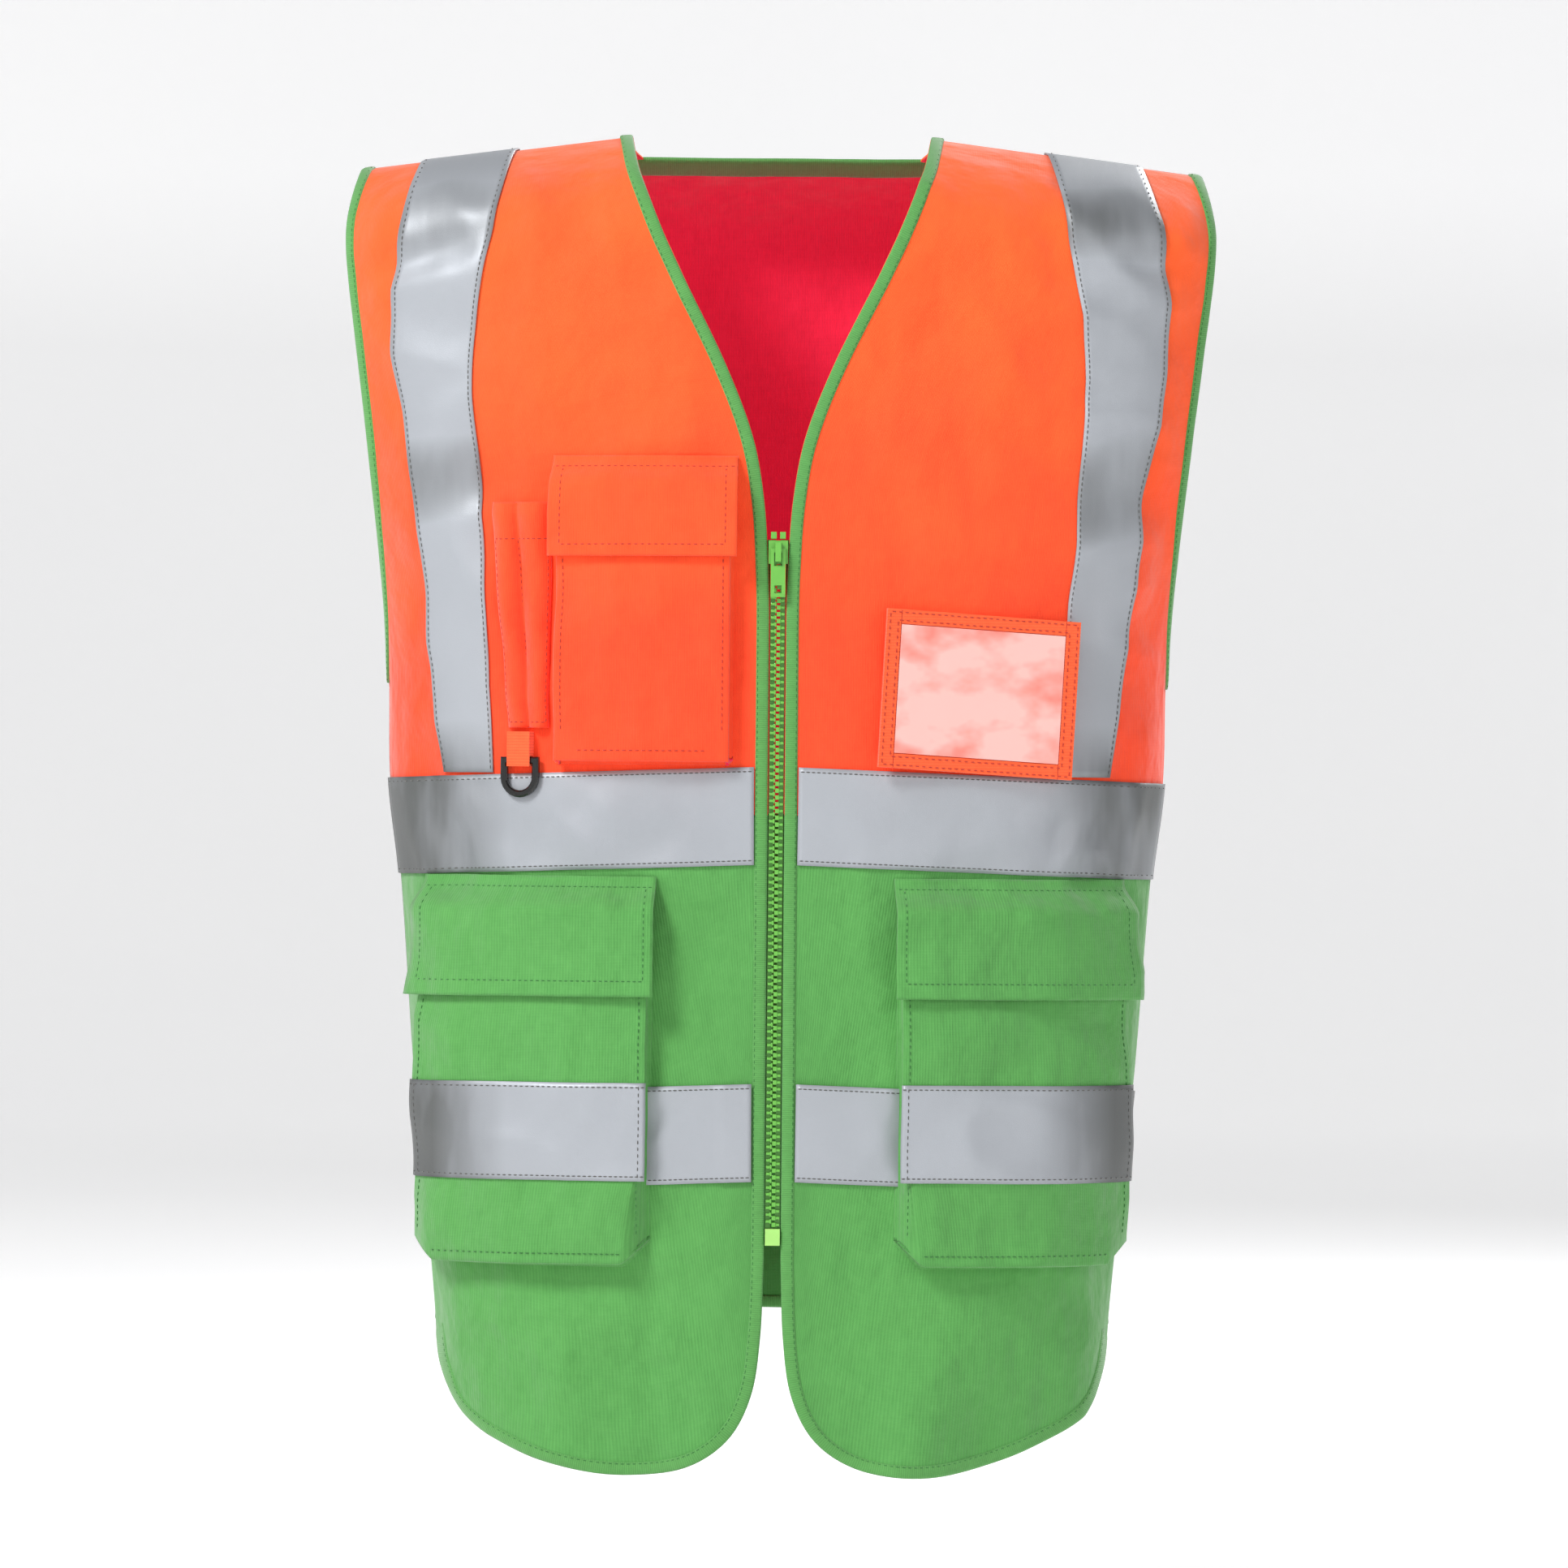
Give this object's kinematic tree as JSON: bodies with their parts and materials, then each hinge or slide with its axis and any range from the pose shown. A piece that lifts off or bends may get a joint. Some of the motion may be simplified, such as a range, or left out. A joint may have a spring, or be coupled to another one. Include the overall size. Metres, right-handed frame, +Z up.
{
  "type": "high_visibility_vest",
  "caption": "Orange and green high visibility vest with silver reflective tape, a zip front, flapped pockets, a pen pocket, a clear card holder and a black ring",
  "frame": {"origin": "midway between the two neck points of the shoulder seams, where the wearer or a hanger carries the vest", "axes": "+X to the wearer's left, -Y out of the front, +Z up"},
  "size_m": [0.4532, 0.2465, 0.7001],
  "materials": {
    "orange_cloth": "bright woven polyester with a crimson inner side",
    "green_cloth": "ribbed woven polyester",
    "green_binding": "folded grosgrain binding and zip tape",
    "reflective_tape": "sewn silver reflective tape",
    "orange_trim": "woven edge tape of the card holder",
    "hook_and_loop": "hook and loop fastener",
    "zip_plastic": "moulded green plastic",
    "ring_plastic": "moulded black plastic",
    "clear_window": "clear soft sheet that looks pale pink"
  },
  "bodies": {
    "back": {"back_chest": "orange_cloth", "back_skirt": "green_cloth", "back_neck_binding": "green_binding", "back_hem_binding": "green_binding", "armhole_binding_back_right": "green_binding", "armhole_binding_back_left": "green_binding", "brace_tape_back_right": "reflective_tape", "brace_tape_back_left": "reflective_tape", "waist_tape_back": "reflective_tape", "hem_tape_back": "reflective_tape"},
    "front_right": {"front_chest_right": "orange_cloth", "front_skirt_right": "green_cloth", "front_binding_right": "green_binding", "armhole_binding_front_right": "green_binding", "brace_tape_front_right": "reflective_tape", "waist_tape_front_right": "reflective_tape", "hem_tape_front_right": "reflective_tape", "pocket_tape_right": "reflective_tape", "lower_pocket_right_front": "green_cloth", "lower_pocket_right_gusset": "green_cloth", "lower_pocket_right_loop_patch": "hook_and_loop", "zip_tape_right": "green_binding", "zip_teeth_right": "zip_plastic", "zip_top_stop_right": "zip_plastic", "chest_pocket_front": "orange_cloth", "chest_pocket_gusset": "orange_cloth", "chest_pocket_loop_patch": "hook_and_loop", "pen_pocket": "orange_cloth", "ring_loop": "orange_cloth", "zip_box": "zip_plastic"},
    "front_left": {"front_chest_left": "orange_cloth", "front_skirt_left": "green_cloth", "front_binding_left": "green_binding", "armhole_binding_front_left": "green_binding", "brace_tape_front_left": "reflective_tape", "waist_tape_front_left": "reflective_tape", "hem_tape_front_left": "reflective_tape", "pocket_tape_left": "reflective_tape", "lower_pocket_left_front": "green_cloth", "lower_pocket_left_gusset": "green_cloth", "lower_pocket_left_loop_patch": "hook_and_loop", "zip_tape_left": "green_binding", "zip_teeth_left": "zip_plastic", "zip_top_stop_left": "zip_plastic", "zip_pin": "zip_plastic"},
    "slider": {"zip_slider": "zip_plastic"},
    "pull": {"zip_pull": "zip_plastic"},
    "chest_flap": {"chest_pocket_flap": "orange_cloth", "chest_pocket_hook_patch": "hook_and_loop"},
    "flap_right": {"lower_pocket_right_flap": "green_cloth", "lower_pocket_right_hook_patch": "hook_and_loop"},
    "flap_left": {"lower_pocket_left_flap": "green_cloth", "lower_pocket_left_hook_patch": "hook_and_loop"},
    "card_holder": {"card_back_sheet": "orange_trim", "card_edge_right": "orange_trim", "card_edge_left": "orange_trim", "card_edge_top": "orange_trim", "card_edge_bottom": "orange_trim", "card_window": "clear_window"},
    "ring": {"d_ring": "ring_plastic"}
  },
  "joints": [
    {"name": "front_right_open", "type": "hinge", "parent": "back", "child": "front_right", "pos_m": [-0.232, 0, 0], "axis": [0.0723, 0, -0.9974], "range_deg": [0, 60]},
    {"name": "front_left_open", "type": "hinge", "parent": "back", "child": "front_left", "pos_m": [0.232, 0, 0], "axis": [0.0723, 0, 0.9974], "range_deg": [0, 60]},
    {"name": "zip_slide", "type": "slide", "parent": "front_right", "child": "slider", "axis": [0, 0, -1], "range_m": [0, 0.34]},
    {"name": "zip_pull_swing", "type": "hinge", "parent": "slider", "child": "pull", "pos_m": [0, -0.12015, -0.2217], "axis": [-1, 0, 0], "range_deg": [0, 170]},
    {"name": "chest_flap_open", "type": "hinge", "parent": "front_right", "child": "chest_flap", "pos_m": [-0.06873, -0.12717, -0.173], "axis": [-0.9959, 0.0907, 0], "range_deg": [0, 150]},
    {"name": "flap_right_open", "type": "hinge", "parent": "front_right", "child": "flap_right", "pos_m": [-0.12333, -0.11713, -0.39027], "axis": [-0.9426, 0.3338, 0], "range_deg": [0, 150]},
    {"name": "flap_left_open", "type": "hinge", "parent": "front_left", "child": "flap_left", "pos_m": [0.12323, -0.11713, -0.39027], "axis": [-0.9437, -0.3307, 0], "range_deg": [0, 150]},
    {"name": "card_holder_lift", "type": "hinge", "parent": "front_left", "child": "card_holder", "pos_m": [0.10707, -0.11086, -0.25394], "axis": [-0.9745, -0.2165, 0.0599], "range_deg": [0, 110]},
    {"name": "ring_swing", "type": "hinge", "parent": "front_right", "child": "ring", "pos_m": [-0.13269, -0.10263, -0.33091], "axis": [-0.9387, 0.3447, 0], "range_deg": [0, 120]}
  ],
  "couplings": [
    {"joint": "front_left_open", "follows": "front_right_open", "ratio": 1},
    {"joint": "zip_slide", "follows": "front_right_open", "m_per_rad": 0.3246}
  ]
}
